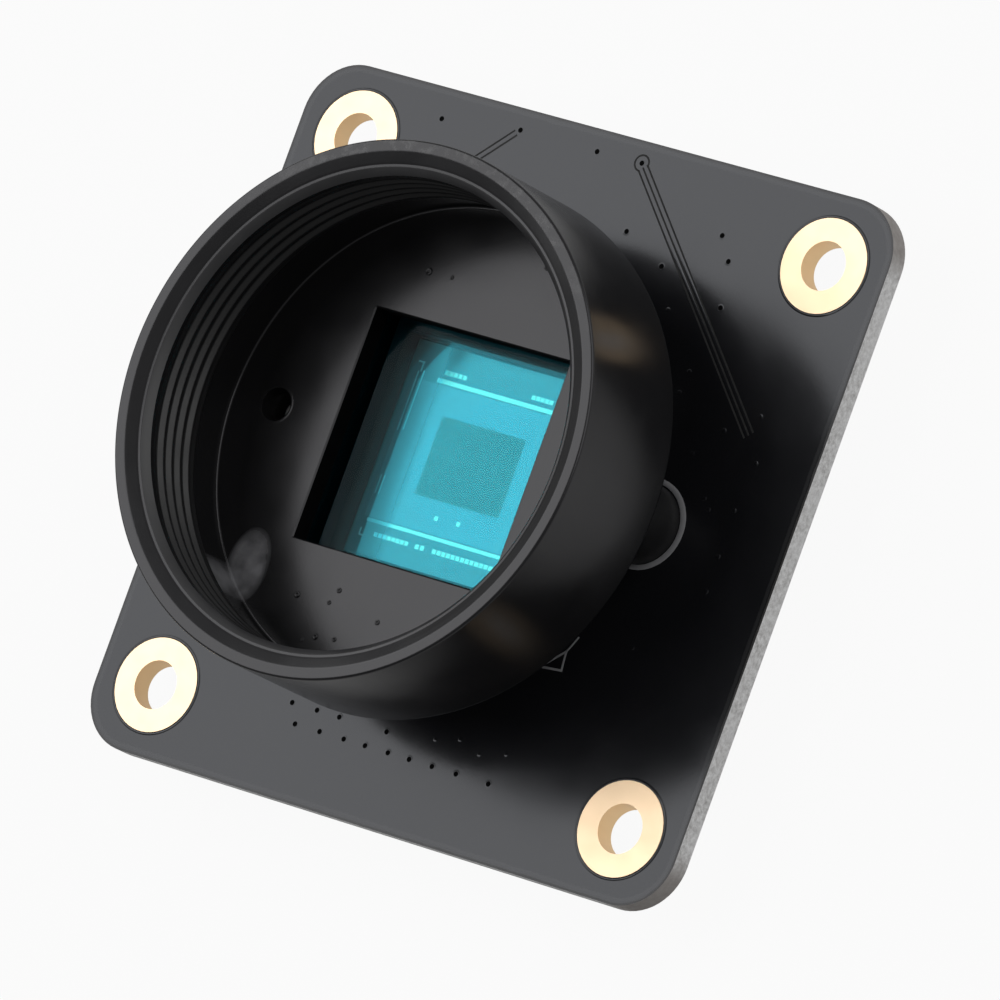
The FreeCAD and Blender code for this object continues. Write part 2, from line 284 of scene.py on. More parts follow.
class Look:
    """A node material, or the world, with the helpers that fill it."""

    def __init__(self, name, kind=bpy.data.materials):
        self.data = kind.new(name)
        self.data.use_nodes = True
        self.nodes = self.data.node_tree.nodes
        self.shader = self.nodes.get("Principled BSDF")

    def feed(self, sockets, *values):
        """Feeds input sockets in order, each with a socket, a number or a colour."""
        for socket, value in zip(sockets, values):
            if isinstance(value, bpy.types.NodeSocket):
                self.data.node_tree.links.new(value, socket)
            else:
                socket.default_value = (*value, 1.0) if isinstance(value, tuple) else value

    def give(self, target, **inputs):
        """Feeds a node's inputs by name, with underscores for spaces."""
        for name, value in inputs.items():
            self.feed([target.inputs[name.replace("_", " ")]], value)
        return target

    def node(self, kind, **inputs):
        """Adds a shader node with its inputs."""
        return self.give(self.nodes.new("ShaderNode" + kind), **inputs)

    def surface(self, **inputs):
        """Feeds the principled shader."""
        self.give(self.shader, **inputs)

    def math(self, operation, *values):
        """A math node's output."""
        made = self.node("Math")
        made.operation = operation
        self.feed(made.inputs, *values)
        return made.outputs[0]

    def product(self, first, *others):
        """All the values multiplied."""
        for other in others:
            first = self.math("MULTIPLY", first, other)
        return first

    def length(self, across, along):
        """Length of a flat vector."""
        return self.math("SQRT", self.math("ADD", self.product(across, across), self.product(along, along)))

    def spread(self, value, low_from, high_from, low_to=0.0, high_to=1.0):
        """Maps a value from one range to another."""
        made = self.node("MapRange")
        self.feed(made.inputs, value, low_from, high_from, low_to, high_to)
        return made.outputs["Result"]

    def mix(self, factor, first, second):
        """Mixes two colours, by the node's colour sockets."""
        made = self.node("Mix")
        made.data_type = "RGBA"
        self.feed([made.inputs["Factor"], *made.inputs[6:8]], factor, first, second)
        return made.outputs[2]

    def blend(self, share, first, second):
        """Mixes two shaders; a share of one shows the second alone."""
        made = self.node("MixShader")
        self.feed(made.inputs, share, first.outputs[0], second.outputs[0])
        return made.outputs[0]

    def split(self, vector):
        """The three parts of a vector."""
        return self.node("SeparateXYZ", Vector=vector).outputs

    def place(self):
        """The surface point's three coordinates on its object, in metres."""
        return self.split(self.node("TexCoord").outputs["Object"])

    def noise(self, scale, detail=3.0, roughness=0.5):
        """Noise over the surface; scale is in features to the metre."""
        place = self.node("TexCoord").outputs["Object"]
        made = self.node("TexNoise", Vector=place, Scale=scale, Detail=detail, Roughness=roughness)
        return made.outputs["Fac"]

    def clouded(self, scale, dark, pale, glossy, dull):
        """A cloud of two colours, whose gloss follows it; returns the colour."""
        cloud = self.noise(scale, 4)
        shade = self.mix(cloud, dark, pale)
        self.surface(Base_Color=shade, Roughness=self.spread(cloud, 0.3, 0.7, glossy, dull))
        return shade

    def side_faces(self):
        """One on upright faces and nought on level ones."""
        upward = self.split(self.node("NewGeometry").outputs["Normal"])[2]
        return self.math("LESS_THAN", self.math("ABSOLUTE", upward), 0.5)

    def grain(self, scale, strength, detail=3.0, distance=0.00001):
        """A grain as bump, over a distance in metres."""
        height = self.noise(scale, detail)
        self.surface(Normal=self.node("Bump", Height=height, Strength=strength, Distance=distance).outputs[0])


def painted_highlight_oval(look):
    """A painted highlight: a pale oval in the well, where the floor meets the wall."""
    across, along, height = look.place()
    offsets = [
        look.math("DIVIDE", look.math("SUBTRACT", value, middle * MM), half * MM)
        for value, middle, half in ((across, *PATCH_ACROSS), (along, *PATCH_ALONG))
    ]
    return look.product(
        look.spread(look.length(*offsets), 0.75, 1.1, 1.0, 0.0),
        look.spread(look.noise(900), 0.3, 0.7, 0.35, 1.0),
        look.math("LESS_THAN", height, (THREAD_BOTTOM - 0.1) * MM),
        look.math("GREATER_THAN", height, (FLOOR_TOP - 0.1) * MM),
    )


def dull_side(look):
    """One on the outer wall around DULL_AZIMUTH, where the moulding is duller."""
    across, along, height = look.place()
    angle = math.radians(DULL_AZIMUTH)
    facing = look.math("ADD", look.product(across, math.cos(angle)), look.product(along, math.sin(angle)))
    return look.product(
        look.spread(facing, 0.9 * ring_radius * MM, 0.975 * ring_radius * MM),
        look.math("LESS_THAN", height, (ring_top - RIM_BREAK) * MM),
    )


def black_moulding():
    """Satin black moulding with a fine grain, and light wear on the flat of the rim."""
    look = Look("mount_black")
    cloud = look.noise(350, 4)
    shade = look.mix(cloud, (0.005, 0.005, 0.0055), (0.01, 0.01, 0.0105))
    _, along, height = look.place()
    wear = look.product(
        look.math("GREATER_THAN", height, (ring_top - 0.02) * MM),
        look.spread(along, WEAR_START * MM, WEAR_FULL * MM),
        look.spread(look.noise(1100, 5, 0.65), 0.5, 0.7, 0.0, 0.45),
    )
    shade = look.mix(wear, shade, grey(0.13))
    # The pale oval in the well is a painted highlight.
    patch = painted_highlight_oval(look)
    gloss = look.spread(cloud, 0.3, 0.7, *MOUNT_GLOSS)
    look.surface(
        Base_Color=look.mix(patch, shade, (0.19, 0.19, 0.2)),
        Roughness=look.math("ADD", gloss, look.product(look.math("MAXIMUM", wear, patch), 0.2)),
        IOR=MOUNT_IOR,
        Specular_IOR_Level=look.spread(dull_side(look), 0.0, 1.0, 0.5, 0.2),
        Specular_Tint=(0.97, 0.965, 1.0),
    )
    look.grain(9000, 0.12, 2)
    return look.data


def edge_distance(look):
    """Distance of a point from the board's outline, in metres and negative inside."""
    reach = (board_half - BOARD_CORNER) * MM
    parts = [look.math("SUBTRACT", look.math("ABSOLUTE", value), reach) for value in look.place()[:2]]
    round_part = look.length(*[look.math("MAXIMUM", part, 0.0) for part in parts])
    straight = look.math("MINIMUM", look.math("MAXIMUM", *parts), 0.0)
    return look.math("SUBTRACT", look.math("ADD", round_part, straight), BOARD_CORNER * MM)


def sawn_epoxy(look):
    """Colour of the board's sawn edge: pale and fibrous, and darker at the corners."""
    fibre = look.spread(look.noise(3200, 6, 0.7), 0.35, 0.65)
    sawn = look.mix(fibre, (0.42, 0.41, 0.4), grey(0.92))
    sawn = look.mix(look.spread(look.noise(420), 0.35, 0.65, 0.0, 0.5), sawn, grey(0.85))
    corner = look.product(*[look.math("ABSOLUTE", value) for value in look.place()[:2]])
    return look.mix(look.spread(corner, 0.000285, 0.00031, 0.0, 0.75), sawn, (0.2, 0.17, 0.15))


def solder_mask(name, with_edge):
    """Semi-gloss black mask; on the board itself also its bare rim, its sawn edge and a painted highlight
    along the mask's edge.
    """
    look = Look(name)
    cloud = look.noise(260, 4)
    mask = look.mix(cloud, (0.006, 0.0062, 0.0072), (0.01, 0.0102, 0.0118))
    gloss = look.spread(cloud, 0.3, 0.7, 0.16, 0.21)
    if with_edge:
        waver = look.spread(look.noise(900), 0.0, 1.0, -0.00006, 0.00006)
        distance = look.math("ADD", edge_distance(look), waver)
        # Painted highlight: a paler line just inside the edge of the mask.
        painted_edge_highlight = look.product(
            look.spread(distance, -0.00042, -0.00034),
            look.spread(distance, -0.00022, -0.00014, 1.0, 0.0),
        )
        mask = look.mix(painted_edge_highlight, mask, (0.022, 0.022, 0.023))
        bare = look.spread(distance, -0.00016, -0.0001)
        mask = look.mix(bare, mask, (0.02, 0.018, 0.016))
        is_side = look.side_faces()
        mask = look.mix(is_side, mask, sawn_epoxy(look))
        rough = look.math("MAXIMUM", look.product(bare, 0.4), look.product(is_side, 0.7))
        gloss = look.math("MAXIMUM", gloss, rough)
    look.surface(Base_Color=mask, Roughness=gloss, Specular_Tint=(0.93, 0.95, 1.0))
    look.grain(5000, 0.1, 2)
    return look.data


def gold(name, color, painted_wall_tint, roughness):
    """Plated gold with a slight cloud in its gloss, and a deeper colour on upright walls, painted in for the
    tint that reflections between the walls give them.
    """
    look = Look(name)
    shade = look.clouded(900, color, scaled(color, 1.03), roughness * 0.95, roughness * 1.05)
    # Painted reflection: upright walls take the deeper tint.
    look.surface(Metallic=1.0, Base_Color=look.mix(look.side_faces(), shade, painted_wall_tint))
    look.grain(7000, 0.15)
    return look.data


def metal(name, color, roughness, grain=6000):
    """Plain metal or plating with a fine grain."""
    look = Look(name)
    look.clouded(700, scaled(color, 0.88), color, roughness * 0.8, roughness * 1.2)
    look.surface(Metallic=1.0)
    look.grain(grain, 0.2)
    return look.data


def die_surface(name, color):
    """Polished layers of the sensor die, duller along the edge at -X, and paler there with painted light
    where the window's wall shades the die.
    """
    look = Look(name)
    duller_and_painted_light_edge = look.spread(look.place()[0], DIE_PAINTED_LIGHT_START * MM, DIE_PAINTED_LIGHT_FULL * MM)
    shade = look.mix(look.noise(700), scaled(color, 0.97), color)
    # Painted light: the colour grows paler towards -X, where the window's wall shades the die.
    look.surface(
        Metallic=1.0,
        Base_Color=look.mix(duller_and_painted_light_edge, shade, scaled(color, 1.7)),
        Roughness=look.spread(duller_and_painted_light_edge, 0.0, 1.0, 0.12, 0.32),
    )
    return look.data


def moulded(name, dark, pale, roughness, grain=8000, depth=0.00002):
    """Moulded plastic, epoxy or ceramic with a fine grain."""
    look = Look(name)
    look.clouded(600, dark, pale, roughness - 0.05, roughness + 0.05)
    look.grain(grain, 0.25, distance=depth)
    return look.data


def deep_black(name, level):
    """Black without gloss, as in deep holes and unlit sides."""
    look = Look(name)
    shade = look.mix(look.noise(2000, 2), grey(0.5 * level), grey(1.5 * level))
    look.surface(Base_Color=shade, Roughness=0.9, Specular_IOR_Level=0.05)
    return look.data


def coated_glass(name, tint, low_share, high_share, middle):
    """Coated glass: light passes through tinted, and each face mirrors a small share of it."""
    look = Look(name)
    look.nodes.clear()
    through = look.node("BsdfTransparent", Color=look.mix(look.noise(300), tint, scaled(tint, 1.02)))
    mirror = look.node("BsdfGlossy", Color=(0.94, 0.99, 1.0), Roughness=0.0)
    share = look.spread(look.place()[2], (middle - 0.05) * MM, (middle + 0.05) * MM, low_share, high_share)
    look.node("OutputMaterial", Surface=look.blend(share, through, mirror))
    return look.data


MOUNT_GLOSS = (0.2, 0.26)
MOUNT_IOR = 1.46
DULL_AZIMUTH = -42.0
BOARD_CORNER = 3.0

# Middle and half size of the painted highlight in the well, and where the rim's wear and the die's painted
# light set in
PATCH_ACROSS = (-8.25, 1.2)
PATCH_ALONG = (-8.3, 1.9)
WEAR_START = 6.0
WEAR_FULL = 12.5
DIE_PAINTED_LIGHT_START = -3.25
DIE_PAINTED_LIGHT_FULL = -3.75

mount_black = black_moulding()
window_black = deep_black("window_black", 0.003)
thread_black = moulded("thread_black", (0.006, 0.006, 0.0065), (0.011, 0.011, 0.0115), 0.4)
mouth_black = moulded("mouth_black", (0.018, 0.018, 0.019), (0.036, 0.036, 0.038), 0.4)
board_black = solder_mask("board_black", True)
mask_black = solder_mask("mask_black", False)
# The second colour of each gold is the tint painted on its upright walls for their reflections.
pad_gold = gold("pad_gold", (1.0, 0.76, 0.52), (1.0, 0.73, 0.42), 0.5)
contact_gold = gold("contact_gold", (0.95, 0.78, 0.45), (0.95, 0.76, 0.42), 0.25)
screw_steel = metal("screw_steel", (0.62, 0.61, 0.6), 0.3)
tin_plating = metal("tin_plating", (0.78, 0.78, 0.77), 0.38)
crystal_metal = metal("crystal_metal", (0.8, 0.76, 0.66), 0.25)
header_plastic = moulded("header_plastic", (0.72, 0.68, 0.58), (0.8, 0.77, 0.68), 0.5)
chip_black = moulded("chip_black", (0.018, 0.018, 0.019), (0.03, 0.03, 0.031), 0.55, 5000, 0.00004)
ferrite_grey = moulded("ferrite_grey", (0.05, 0.05, 0.053), (0.08, 0.08, 0.083), 0.6, 4000, 0.00005)
ceramic_dark = moulded("ceramic_dark", (0.018, 0.018, 0.02), (0.03, 0.03, 0.032), 0.6)
crystal_base = moulded("crystal_base", (0.3, 0.29, 0.27), (0.4, 0.39, 0.36), 0.5)
capacitor_tan = moulded("capacitor_tan", (0.42, 0.3, 0.2), (0.5, 0.36, 0.25), 0.45)
resistor_black = moulded("resistor_black", (0.02, 0.02, 0.022), (0.035, 0.035, 0.038), 0.4)
filter_cyan = coated_glass("filter_cyan", (0.53, 0.91, 0.965), 0.0065, 0.0055, 3.85)
cover_clear = coated_glass("cover_clear", (0.97, 0.985, 0.99), 0.07, 0.013, 2.8)
silicon = die_surface("silicon", (0.22, 0.21, 0.21))
die_bright = die_surface("die_bright", (0.3, 0.29, 0.3))
die_dark = die_surface("die_dark", (0.17, 0.165, 0.15))
die_metal = die_surface("die_metal", (1.0, 0.7, 0.55))
# Print: white ink, painted grey for the shade the mount casts over it.
print_in_painted_shade = moulded("print_in_painted_shade", (0.14, 0.14, 0.15), (0.36, 0.36, 0.37), 0.4, 9000)
# Painted shade for the unlit insides of the plated holes.
painted_hole_shade = deep_black("painted_hole_shade", 0.002)
mark_grey = moulded("mark_grey", grey(0.1), grey(0.15), 0.4)
# Painted shade for the dips in the mask beside the traces.
painted_gap_shade = deep_black("painted_gap_shade", 0.035)
solder = metal("solder", (0.74, 0.74, 0.75), 0.24, 5000)

NODE_FINISH = {
    board_black: ["circuit_board"],
    pad_gold: [f"mounting_pad_{number}" for number in range(1, 5)],
    mount_black: ["lens_mount"],
    filter_cyan: ["filter_glass"],
    cover_clear: ["sensor_cover_glass"],
    ceramic_dark: ["sensor_package"],
    silicon: ["sensor_die"],
    screw_steel: ["mount_screw_left", "mount_screw_right"],
    header_plastic: ["cable_header_housing"],
    contact_gold: ["cable_header_contacts"],
    tin_plating: ["cable_header_tabs"],
    chip_black: ["image_processor", "flash_memory", "voltage_regulator_1", "voltage_regulator_2"],
    ferrite_grey: ["power_inductor"],
    crystal_metal: ["crystal_oscillator"],
    capacitor_tan: ["bulk_capacitors", "bypass_capacitors"],
    resistor_black: ["resistors"],
}
for finish, names in NODE_FINISH.items():
    for name in names:
        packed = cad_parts[name]
        packed.data.materials.clear()
        packed.data.materials.append(finish)


# Lens mount with its thread

RING_STEPS = 360
POST_STEPS = 40
PILOT_STEPS = 48
CORNER_STEPS = 6
MOULDING, WINDOW, THREAD, MOUTH = range(4)

# One turn of the thread: share of the pitch, and share of the depth from root to crest
THREAD_TURN = [
    (0.06, 0.0), (0.16, 0.04), (0.24, 0.22), (0.36, 0.78), (0.44, 0.96), (0.5, 1.0),
    (0.56, 0.96), (0.64, 0.78), (0.76, 0.22), (0.84, 0.04), (0.94, 0.0),
]

# Toe of the lead-in, outward and up from the thread's edge, and its top, outward and down from the rim
LEAD_IN_TOE = [(0.04, 0.006), (0.07, 0.022), (0.11, 0.045), (0.18, 0.077)]
LEAD_IN_EDGE = [(-0.08, 0.034), (-0.03, 0.013), (0.02, 0.0), (0.05, 0.0)]

# Lip round a pilot hole, outward from the hole and up from the floor
PILOT_LIP = [(0.0, -EDGE_SOFTNESS), (0.03, 0.004), (0.08, 0.012), (0.14, 0.005), (0.17, 0.0), (0.22, 0.0)]


def thread_radius(z, rise):
    """Radius of the thread, which starts above the well and fades under the mouth."""
    run_in = min(1.0, max(0.0, (z - THREAD_BOTTOM) / (0.5 * THREAD_PITCH)))
    run_out = min(1.0, max(0.0, (THREAD_FADE_END - z) / (THREAD_FADE_END - THREAD_FADE_START)))
    return CREST_RADIUS + THREAD_DEPTH * (1 - rise * run_in) * run_out


def thread_skin(build):
    """The thread in columns round the bore; the first one, a turn higher, closes them."""
    lowest = math.floor(THREAD_BOTTOM / THREAD_PITCH + THREAD_START) - 2
    highest = math.ceil(THREAD_FADE_END / THREAD_PITCH + THREAD_START) + 1
    columns = []
    for number in range(RING_STEPS):
        share = number / RING_STEPS
        angle = math.tau * share
        column = []
        for whole in range(lowest, highest):
            for turn, rise in THREAD_TURN:
                z = THREAD_PITCH * (whole + turn - THREAD_START + share)
                z = min(THREAD_FADE_END, max(THREAD_BOTTOM, z))
                radius = thread_radius(z, rise)
                column.append((radius * math.cos(angle), radius * math.sin(angle), z))
        columns.append(build.loop(column))
    columns.append(columns[0][len(THREAD_TURN):])
    for column, beside in zip(columns, columns[1:]):
        for here in range(len(beside) - 1):
            corners = (column[here], beside[here], beside[here + 1], column[here + 1])
            if len({round(build.points[index].z, 6) for index in corners}) > 1:
                build.face(corners)


def lower_outline(z):
    """Outline of the box, ribs and posts under the floor."""
    reach = BOX_OUTER_HALF - BOX_CORNER
    rib_meets_post = math.degrees(math.asin(RIB_HALF / POST_RADIUS))
    flat = []
    for side, start in ((1, 0), (-1, 180)):
        flat.append((side * BOX_OUTER_HALF, -side * RIB_HALF))
        inward = start + 180
        sweep = (inward + rib_meets_post, inward + 360 - rib_meets_post)
        flat += arc(POST_RADIUS, *sweep, POST_STEPS, side * screw_x)
        flat.append((side * BOX_OUTER_HALF, side * RIB_HALF))
        flat += arc(BOX_CORNER, start, start + 90, CORNER_STEPS, side * reach, side * reach)
        flat += arc(BOX_CORNER, start + 90, start + 180, CORNER_STEPS, -side * reach, side * reach)
    return [(*point, z) for point in flat]


def well_profile():
    """Radius and height pairs from the floor of the well up to the thread."""
    start = WELL_RADIUS - WELL_CORNER
    return [
        (start - 0.05, FLOOR_TOP),
        *arc(WELL_CORNER, -90, 0, CORNER_STEPS, start, FLOOR_TOP + WELL_CORNER),
        (WELL_RADIUS, FLOOR_TOP + WELL_CORNER + 0.05),
        (WELL_RADIUS, THREAD_BOTTOM),
    ]


def outside_profile():
    """From the lead-in over the rim, down the outside and round the chamfer."""
    soft = EDGE_SOFTNESS
    under = filter_top
    flat_end = ring_radius - RIM_BREAK
    break_end = ring_top - RIM_BREAK
    chamfer_top = under + UNDER_CHAMFER
    chamfer_end = ring_radius - UNDER_CHAMFER
    return [
        *[(THREAD_RADIUS + out, lead_in_bottom + up) for out, up in LEAD_IN_TOE],
        *[(LEAD_IN_RADIUS + out, ring_top - down) for out, down in LEAD_IN_EDGE],
        (flat_end - 0.03, ring_top),
        *arc(RIM_BREAK, 90, 0, CORNER_STEPS, flat_end, break_end),
        (ring_radius, break_end - 0.05),
        (ring_radius, chamfer_top + soft + 0.05),
        (ring_radius, chamfer_top + soft),
        (ring_radius - soft / 2, chamfer_top - soft / 2),
        (ring_radius - soft, chamfer_top - soft),
        (chamfer_end + soft, under + soft),
        (chamfer_end + soft / 2, under + soft / 2),
        (chamfer_end - soft, under),
        (chamfer_end - soft - 0.05, under),
    ]


def ring_skin(build):
    """The ring inside and out; returns its rows on the floor and on the underside."""
    floor_row, well_row = build.rings(well_profile(), RING_STEPS)
    build.finish = THREAD
    build.bridge(well_row, build.loop(circle(CREST_RADIUS + THREAD_DEPTH, THREAD_BOTTOM, RING_STEPS)))
    thread_skin(build)
    build.finish = MOULDING
    mouth_bottom = lead_in_bottom - MOUTH_DEPTH
    ledge = THREAD_RADIUS - MOUTH_LEDGE
    crest_end = (CREST_RADIUS, mouth_bottom - 0.02)
    build.rings([(CREST_RADIUS, THREAD_FADE_END), (CREST_RADIUS, crest_end[1] - 0.04), crest_end], RING_STEPS)
    build.finish = MOUTH
    mouth = [
        crest_end,
        (CREST_RADIUS + 0.03, mouth_bottom + 0.02),
        (ledge - 0.03, lead_in_bottom - 0.02),
        (ledge + 0.02, lead_in_bottom + 0.004),
    ]
    build.rings(mouth, RING_STEPS)
    build.finish = MOULDING
    _, under_row = build.rings([mouth[-1], *outside_profile()], RING_STEPS)
    return floor_row, under_row


def mount_mesh():
    """The mount as one closed skin: ring, box, ribs, posts and window."""
    build = Builder()
    soft = EDGE_SOFTNESS
    under = filter_top
    floor_row, under_row = ring_skin(build)
    outline_top = build.loop(lower_outline(under))
    outline_low = build.loop(lower_outline(0.0))
    build.fill(under_row, outline_top)
    build.finish = THREAD
    build.bridge(outline_top, outline_low)
    build.finish = MOULDING
    inner_low = build.square(BOX_INNER_HALF, 0.01, 0.0)
    inner_top = build.square(BOX_INNER_HALF, 0.01, under)
    pilots_low = [build.loop(circle(PILOT_RADIUS, 0.0, PILOT_STEPS, x)) for x in (-screw_x, screw_x)]
    build.fill(outline_low, inner_low, *pilots_low)
    build.bridge(inner_low, inner_top)
    window_low = build.square(WINDOW_HALF, 0.05, under)
    build.fill(inner_top, window_low)
    window_high = build.square(WINDOW_HALF, 0.05, FLOOR_TOP - soft)
    window_edge = build.square(WINDOW_HALF + soft, 0.05 + soft, FLOOR_TOP)
    build.finish = WINDOW
    build.bridge(window_low, window_high)
    build.finish = MOULDING
    build.bridge(window_high, window_edge)
    floor_rows = [floor_row, window_edge]
    lip = [(PILOT_RADIUS + out, FLOOR_TOP + up) for out, up in PILOT_LIP]
    for x, start in zip((-screw_x, screw_x), pilots_low):
        below_lip, edge = build.rings(lip, PILOT_STEPS, x)
        build.bridge(start, below_lip)
        floor_rows.append(edge)
    build.fill(*floor_rows)
    return build.mesh("mount_body")


mount_finishes = (mount_black, window_black, thread_black, mouth_black)
mount_body = add_object("mount_body", mount_mesh(), "mount_black", *mount_finishes)
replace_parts(mount_body, "lens_mount")


# Marks left by moulding on the floor of the mount

FLOOR_MARKS = [
    (-3.86, 8.64, 0.17), (-2.39, 8.66, 0.1), (2.92, 10.45, 0.13), (-2.33, -8.16, 0.12),
    (-4.69, -8.97, 0.15), (-2.66, -8.89, 0.1), (-2.75, -10.74, 0.14), (-3.45, -11.07, 0.09),
    (-1.59, -10.6, 0.11), (0.55, -9.15, 0.12),
]
# Shares of a mark's radius: outward and up
MARK_PROFILE = [(1.0, 0.0), (0.85, 0.3), (0.55, 0.38), (0.3, 0.12), (0.1, 0.05)]
MARK_GROWTH = 1.25


def floor_marks_mesh():
    """Small raised specks with a sunken middle."""
    build = Builder()
    for x, y, radius in FLOOR_MARKS:
        radius *= MARK_GROWTH
        build.turned([(out * radius, FLOOR_TOP + up * radius) for out, up in MARK_PROFILE], 14, x, y)
    return build.mesh("floor_marks", 80)


add_object("floor_marks", floor_marks_mesh(), "mount_black", mount_black)


# Sensor die: its light-sensing field, wiring and bond marks

def die_mesh(name, blocks, thickness):
    """Flat blocks on the die, each given as x, y, half length and half width."""
    build = Builder()
    for x, y, half_x, half_y in blocks:
        build.pillow(half_x, half_y, die_top, die_top + thickness, 0.2 * thickness, x, y)
    return build.mesh(name)


def span(x_low, x_high, y, width):
    """A block along X between two ends."""
    return ((x_low + x_high) / 2, y, (x_high - x_low) / 2, width / 2)


def squares(x_low, x_high, y, size, count):
    """A row of small squares along X."""
    return [(x, y, size / 2, size / 2) for x in evenly(x_low + size / 2, x_high - size / 2, count)]


DIE_LINES = [
    span(-3.8, 5.3, 3.92, 0.24), span(-4.96, 5.3, -3.88, 0.2),
    *squares(-3.5, -2.1, 4.4, 0.24, 5), *squares(2.07, 3.45, 4.4, 0.24, 5),
    *squares(-4.24, -2.01, -4.53, 0.24, 8), *squares(-1.58, -0.99, -4.53, 0.26, 2),
    *squares(-0.48, 4.6, -4.53, 0.25, 17),
    (-0.93, -2.88, 0.12, 0.12), (0.48, -2.85, 0.12, 0.12),
    (-4.75, 2.6, 0.05, 1.6), (-5.08, 2.5, 0.04, 1.6),
    (-5.08, 4.6, 0.2, 0.05), (-4.95, 4.35, 0.05, 0.25),
    (-5.05, -2.0, 0.04, 0.5), (-4.83, -2.0, 0.04, 0.5),
    (-5.11, -4.56, 0.05, 0.2), (-5.0, -4.74, 0.14, 0.05),
]
DIE_FIELD = (0.1, 0.0, 5.3, 3.72)
DIE_ACTIVE_AREA = (-0.03, 0.12, 2.68, 2.1)
for name, blocks, thickness, finish in (
    ("die_field", [DIE_FIELD], 0.004, die_bright),
    ("die_active_area", [DIE_ACTIVE_AREA], 0.008, die_dark),
    ("die_wiring", DIE_LINES, 0.012, die_metal),
):
    add_object(name, die_mesh(name, blocks, thickness), "silicon", finish)


# Printing, traces and plated holes on the board's front

def flat_line(half_width, height):
    """Cross-section of a printed line with soft shoulders."""
    return [(-half_width, 0.0), (-0.7 * half_width, height), (0.7 * half_width, height), (half_width, 0.0)]


# Section of a ring print: radius, outward shift of its middle from the post's, and height
RING_PRINT = [(2.15, 0.0, 0.0), (2.19, 0.0, 0.02), (2.35, 0.08, 0.02), (2.41, 0.08, 0.0)]


def board_print_mesh():
    """Two ring prints round the posts and a small triangle."""
    build = Builder()
    for side, start in ((1, -158), (-1, 22)):
        rows = []
        for radius, shift, z in RING_PRINT:
            flat = arc(radius, start, start + 316, 80, side * (screw_x + shift), 0.03)
            rows.append([(*point, z) for point in flat])
        build.skin(rows, closed=False)
    build.ribbon([(7.07, -8.38), (8.36, -8.27), (8.25, -7.28), (7.07, -8.38)], flat_line(0.06, 0.012))
    build.ribbon([(8.25, -7.28), (8.45, -6.9), (8.68, -6.4)], flat_line(0.05, 0.012))
    return build.mesh("board_print", 50)


TRACE = [(-0.1, 0.0), (-0.06, 0.005), (0.06, 0.005), (0.1, 0.0)]
GAP = [(-0.05, 0.002), (-0.02, 0.003), (0.02, 0.003), (0.05, 0.002)]
LONG_TRACE = [(2.55, 17.4), (3.0, 16.95), (14.2, 5.75)]
SHORT_TRACE = [(-5.6, 17.42), (-6.9, 16.1), (-9.2, 13.8)]
FRONT_TRACES = [(LONG_TRACE, (-0.14, 0.14)), (SHORT_TRACE, (0.0,))]
TRACE_GAPS = [(LONG_TRACE, (-0.28, 0.0, 0.28)), (SHORT_TRACE, (-0.15, 0.15))]
FRONT_HOLES = [
    (-10.3, 17.1), (-5.4, 17.6), (-0.45, 17.57), (2.4, 17.6), (2.95, 14.03), (8.56, 15.12), (9.45, 13.93),
    (5.7, 12.78), (9.95, 11.55),
    *[(x, -13.8) for x in (-6.57, -4.95, -3.5, -0.43)],
    *[(x, -14.8) for x in (-5.95, -4.35, -2.78, -1.4, 0.08, 1.45, 2.92, 4.46, 6.53)],
]
FILLED_HOLES = [
    (6.99, 10.77), (9.49, 8.03), (9.35, 6.87), (14.52, 6.84), (12.71, 5.65), (11.36, 4.09),
    (15.2, 4.5), (12.97, 2.08), (13.42, 1.6), (14.92, 1.92), (14.95, -0.52), (14.99, -2.38),
    (11.94, -6.13), (2.55, -13.46), (3.99, -13.09), (5.4, -13.53), (6.95, -13.13),
]
# Radius and height pairs of a plated hole's rim, of a filled hole, and of the mask round a corner pad
HOLE_RIM = [(0.21, 0.0), (0.18, 0.005), (0.15, 0.006), (0.125, 0.002)]
FILLED_HOLE = [(0.14, 0.0), (0.11, 0.014), (0.07, 0.022), (0.02, 0.026)]
PAD_RIM = [(0.01, 0.004), (0.03, 0.03), (0.09, 0.035), (0.16, 0.0)]


def lay(build, lines, section):
    """Strips side by side along each path, at its own offsets."""
    for path, middles in lines:
        for middle in middles:
            build.ribbon(path, [(middle + offset, height) for offset, height in section])


def front_copper_mesh():
    """Traces, rims round the plated holes, and filled holes, all under the mask."""
    build = Builder()
    lay(build, FRONT_TRACES, TRACE)
    for x, y in FRONT_HOLES:
        build.rings(HOLE_RIM, 20, x, y)
    for x in (-hole_x, hole_x):
        for y in (-hole_x, hole_x):
            build.rings([(pad_half + reach, z) for reach, z in PAD_RIM], 96, x, y)
    for x, y in FILLED_HOLES:
        build.turned(FILLED_HOLE, 12, x, y)
    return build.mesh("front_copper", 60)


def gap_shade_mesh():
    """Painted shade: dark strips beside and between the traces, where the mask dips, and one round the hole
    where the longer trace starts.
    """
    build = Builder()
    lay(build, TRACE_GAPS, GAP)
    build.ribbon(arc(0.42, -20, 290, 40, 2.4, 17.6), GAP)
    return build.mesh("trace_gap_shades", 60)


def hole_shade_mesh():
    """Painted shade: dark discs in the middles of the plated holes, for their unlit insides."""
    build = Builder()
    for x, y in FRONT_HOLES:
        build.turned([(0.14, 0.006), (0.056, 0.0018)], 20, x, y)
    return build.mesh("front_hole_shades")


for mesh, finish in (
    (board_print_mesh(), print_in_painted_shade),
    (front_copper_mesh(), mask_black),
    (gap_shade_mesh(), painted_gap_shade),
    (hole_shade_mesh(), painted_hole_shade),
):
    add_object(mesh.name, mesh, "board_black", finish)


# Parts on the back of the board

